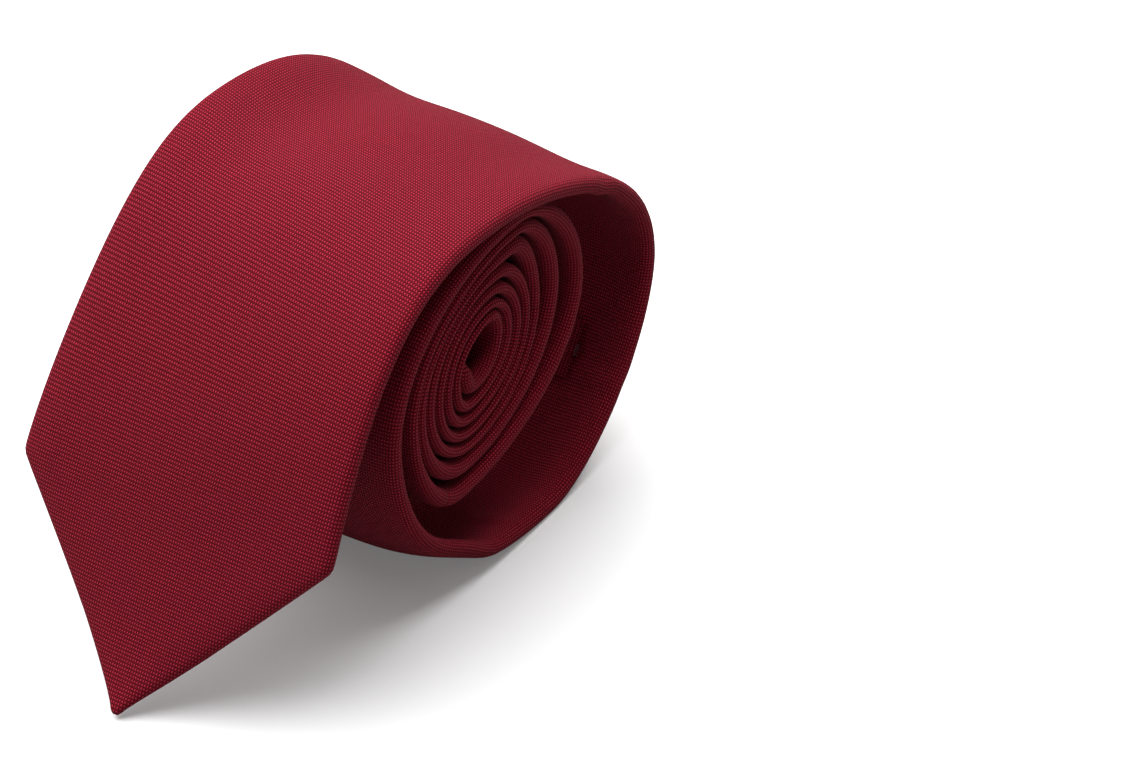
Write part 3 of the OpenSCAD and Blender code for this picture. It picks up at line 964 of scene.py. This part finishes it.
class NECKTIE_OT_tippings(bpy.types.Operator):
    """Builds the satin linings behind both points"""

    bl_idname = "necktie.tippings"
    bl_label = "Tippings"

    def execute(self, context):
        tie = current_tie()
        satin = lining_satin("#8e2437", "#641423")
        runs = (
            ("wide", LINING_START, WIDE_TIPPING_REACH),
            ("narrow", tie.length - NARROW_TIPPING_REACH, tie.length - LINING_START),
        )
        for part, start, end in runs:
            name, node = part + "_tipping_satin", part + "_tipping"
            s = np.linspace(start, end, round(end - start))
            half = tie.half_width(s) - LINING_INSET
            piece = slab(tie, name, s, half, TIPPING_LOW, TIPPING_TOP, satin, rounding=0.1)
            settle(piece, "tipping_satin", node)
        return {"FINISHED"}


class NECKTIE_OT_keeper(bpy.types.Operator):
    """Builds the keeper loop on the back of the blade, and the tacks at its ends"""

    bl_idname = "necktie.keeper"
    bl_label = "Keeper Loop"

    def execute(self, context):
        tie = current_tie()
        half, middle = KEEPER_SPAN / 2, KEEPER_AT + KEEPER_W / 2
        # The strap runs across the tie: it leaves the back at each end and stands clear in between
        across = np.linspace(-half, half, 61)
        stand = smooth((half - np.abs(across)) / 4) * (KEEPER_SLOT + 0.1 * (1 - (across / half) ** 2))
        level = -HALF_T - BACK_CLEARANCE - KEEPER_T / 2 - stand
        # Its section is a rectangle with rounded corners
        outline_s, outline_n = [], []
        for turn in np.radians(np.arange(0, 360, 15)):
            outline_s.append(math.copysign(abs(math.cos(turn)) ** 0.35, math.cos(turn)) * KEEPER_W / 2)
            outline_n.append(math.copysign(abs(math.sin(turn)) ** 0.6, math.sin(turn)) * KEEPER_T / 2)
        s = middle + np.array(outline_s)[None, :]
        n = level[:, None] + np.array(outline_n)[None, :]
        rings = tie.place(s, across[:, None], n)
        uvs = np.stack(np.broadcast_arrays(s - KEEPER_AT + 4, across[:, None]), -1) * MM
        strap = loft("keeper_strap", np.roll(rings, -1, 1), np.roll(uvs, -1, 1), cloth_material())
        settle(strap, "shell_cloth", "keeper_loop")
        inner, outer, tack_level = half - 0.6, half + 1, -HALF_T - 0.35
        paths = [
            stitch(tie, (middle + step, side * inner), (middle + step, side * outer), tack_level, 0.2)
            for side in (-1, 1)
            for step in np.arange(-1.4, 1.5, 0.35)
        ]
        sew("keeper_tack_stitches", "keeper_tacks", paths, 0.14)
        return {"FINISHED"}


class NECKTIE_OT_label(bpy.types.Operator):
    """Builds the blank label on the back, and its two rows of stitches"""

    bl_idname = "necktie.label"
    bl_label = "Label"

    def execute(self, context):
        tie = current_tie()
        s = np.linspace(LABEL_AT, LABEL_AT + LABEL_L, 29)
        half = np.full(len(s), LABEL_W / 2)
        low = -HALF_T - BACK_CLEARANCE - LABEL_T
        ribbon = slab(tie, "label_ribbon", s, half, low, low + LABEL_T, label_ribbon(), rounding=0.05)
        settle(ribbon, "label_ribbon", "care_label")
        inset, run, pitch = 0.9, 1.9, 2.4
        paths = [
            stitch(tie, (at, u), (at, u + run), low - 0.08, 0.06)
            for at in (LABEL_AT + inset, LABEL_AT + LABEL_L - inset)
            for u in np.arange(-LABEL_W / 2 + 0.6, LABEL_W / 2 - 2, pitch)
        ]
        sew("label_stitches", "label_stitch", paths, 0.11)
        return {"FINISHED"}


class NECKTIE_OT_back_stitches(bpy.types.Operator):
    """Builds the slip stitch up the back seam, its spare loop and the two bar tacks"""

    bl_idname = "necktie.back_stitches"
    bl_label = "Back Stitches"

    def execute(self, context):
        tie = current_tie()
        start, end = SEAM_FROM + 2, tie.length - SEAM_TO - 2
        edge, run, pitch = -LAP_EDGE - 0.28, 2.8, 6
        paths = [
            stitch(tie, (s, edge - 0.12), (s + run, edge + 0.1), -1.0, 0.14)
            for s in np.arange(start, end - 3, pitch)
        ]
        sew("slip_stitch_thread", "slip_stitch", paths, 0.13, sides=6)
        # A teardrop of spare thread that lies on the lining, with its two plies side by side
        at, reach, width = SEAM_FROM - 30, 5.0, 2.6
        turn = np.radians(np.linspace(-160, 160, 41))
        loop_s = at + reach * np.cos(turn)
        loop_u = width * np.sin(turn) * (0.6 + 0.4 * np.cos(turn))
        loop_n = TIPPING_LOW - 0.2 - 0.1 * np.cos(2 * turn)
        sew("slack_loop_thread", "slack_loop", [tie.place(loop_s, loop_u, loop_n)], 0.13)
        # Each bar tack is a row of stitches side by side, a little past the end of the seam
        past, tack_half, tack_row = 13, 1.1, np.arange(-3.1, 3.1, 0.27)
        tacks = (("wide_bar_tack", SEAM_FROM - past), ("narrow_bar_tack", tie.length - SEAM_TO + past))
        for node, at in tacks:
            paths = [
                stitch(tie, (at - tack_half, u), (at + tack_half, u + 0.15), -1.2, 0.12) for u in tack_row
            ]
            sew(node + "_thread", node, paths, 0.14)
        return {"FINISHED"}


class NECKTIE_OT_tipping_stitches(bpy.types.Operator):
    """Builds the small slanting stitches that hold the linings to the hems"""

    bl_idname = "necktie.tipping_stitches"
    bl_label = "Tipping Stitches"

    def execute(self, context):
        tie = current_tie()
        pitch, lean, short = 3.2, 1.2, 22
        runs = (
            ("wide", np.arange(14, SEAM_FROM - short, pitch)),
            ("narrow", np.arange(tie.length - SEAM_TO + short, tie.length - 12, pitch)),
        )
        for part, places in runs:
            paths = []
            for s in places:
                inner = float(tie.opening(np.array(s))) - 0.5
                outer = float(tie.opening(np.array(s + lean))) + 0.7
                for side in (-1, 1):
                    ends = (s, side * inner), (s + lean, side * outer)
                    paths.append(stitch(tie, *ends, FLAP_N - 0.16, 0.12))
            sew(part + "_tipping_stitches", part + "_tipping_stitch", paths, 0.12)
        return {"FINISHED"}


class NECKTIE_OT_join_seams(bpy.types.Operator):
    """Builds the rows of machine stitches at the shell's two joins"""

    bl_idname = "necktie.join_seams"
    bl_label = "Join Seams"

    def execute(self, context):
        tie = current_tie()
        run, pitch = 2.1, 2.4
        for part, s in (("wide", WIDE_JOIN), ("narrow", NARROW_JOIN)):
            half = float(tie.half_width(np.array(s))) - 2
            places = np.arange(-half, half - 2.2, pitch)
            paths = [stitch(tie, (s, u), (s, u + run), TOP_N - 0.05, 0.05) for u in places]
            sew(part + "_join_stitches", part + "_neck_seam", paths, 0.13)
        return {"FINISHED"}


class NECKTIE_OT_stage(bpy.types.Operator):
    """Builds the white surface, the sky, the softboxes and the camera"""

    bl_idname = "necktie.stage"
    bl_label = "Stage"

    def execute(self, context):
        scene = context.scene
        stage = scene.tie_stage
        bpy.ops.object.select_all(action="DESELECT")
        bpy.ops.mesh.primitive_plane_add(size=6, location=(0, 0, 0))
        table = context.active_object
        table.name = "paper_table"
        # Painted shade and light: #a8a8a8 is the darker grey that all but the camera see, so less light
        # reaches the tie's hollows, and 0.13 lights the paper for the camera only, lifting its shadows.
        table.data.materials.append(table_paper("#f4f4f4", "#a8a8a8", 0.13))

        world = bpy.data.worlds.new("studio_white")
        world.use_nodes = True
        world.node_tree.nodes["Background"].inputs["Color"].default_value = (1, 1, 1, 1)
        world.node_tree.nodes["Background"].inputs["Strength"].default_value = stage.sky
        scene.world = world
        scene.view_settings.view_transform = "Standard"

        lights = (
            ("overhead_softbox", (-0.42, 0.2, 1.35), (2.4, 2.0), stage.key_power),
            ("front_softbox", (-0.7, -1.0, 0.9), (0.9, 0.7), stage.fill_power),
        )
        for name, place, size, power in lights:
            bpy.ops.object.light_add(type="AREA", location=place)
            light = context.active_object
            light.name = name
            light.data.shape = "RECTANGLE"
            light.data.size, light.data.size_y = size
            light.data.energy = power
            aim = Vector((0, 0.01, 0.04)) - Vector(place)
            light.rotation_euler = aim.to_track_quat("-Z", "Y").to_euler()

        target = Vector(stage.target)
        away = Vector((
            math.sin(stage.azimuth) * math.cos(stage.elevation),
            -math.cos(stage.azimuth) * math.cos(stage.elevation),
            math.sin(stage.elevation),
        ))
        bpy.ops.object.camera_add(location=target + away * stage.distance)
        camera = context.active_object
        camera.name = "product_camera"
        camera.rotation_euler = (-away).to_track_quat("-Z", "Y").to_euler()
        camera.data.lens = stage.lens
        camera.data.sensor_width = 36
        camera.data.clip_start, camera.data.clip_end = 0.05, 20
        scene.camera = camera
        return {"FINISHED"}


class NECKTIE_PT_panel(bpy.types.Panel):
    """Lists the necktie's settings and the pieces it's built from"""

    bl_idname = "NECKTIE_PT_panel"
    bl_label = "Necktie"
    bl_space_type = "VIEW_3D"
    bl_region_type = "UI"
    bl_category = "Necktie"

    def draw(self, context):
        layout = self.layout
        for group in (context.scene.tie_sizes, context.scene.tie_weave, context.scene.tie_stage):
            box = layout.box()
            for name in group.bl_rna.properties.keys():
                if name not in {"rna_type", "name"}:
                    box.prop(group, name)
        for operator in OPERATORS:
            layout.operator(operator.bl_idname)


OPERATORS = (
    NECKTIE_OT_stage,
    NECKTIE_OT_shell,
    NECKTIE_OT_interlining,
    NECKTIE_OT_tippings,
    NECKTIE_OT_keeper,
    NECKTIE_OT_label,
    NECKTIE_OT_back_stitches,
    NECKTIE_OT_tipping_stitches,
    NECKTIE_OT_join_seams,
)
CLASSES = (TieSizes, TieWeave, TieStage, *OPERATORS, NECKTIE_PT_panel)


def register():
    for cls in CLASSES:
        bpy.utils.register_class(cls)
    bpy.types.Scene.tie_sizes = bpy.props.PointerProperty(type=TieSizes)
    bpy.types.Scene.tie_weave = bpy.props.PointerProperty(type=TieWeave)
    bpy.types.Scene.tie_stage = bpy.props.PointerProperty(type=TieStage)


def unregister():
    del bpy.types.Scene.tie_stage
    del bpy.types.Scene.tie_weave
    del bpy.types.Scene.tie_sizes
    for cls in reversed(CLASSES):
        bpy.utils.unregister_class(cls)


def main():
    register()
    bpy.ops.necktie.stage()
    bpy.ops.necktie.shell()
    bpy.ops.necktie.interlining()
    bpy.ops.necktie.tippings()
    bpy.ops.necktie.keeper()
    bpy.ops.necktie.label()
    bpy.ops.necktie.back_stitches()
    bpy.ops.necktie.tipping_stitches()
    bpy.ops.necktie.join_seams()


if __name__ == "__main__":
    main()
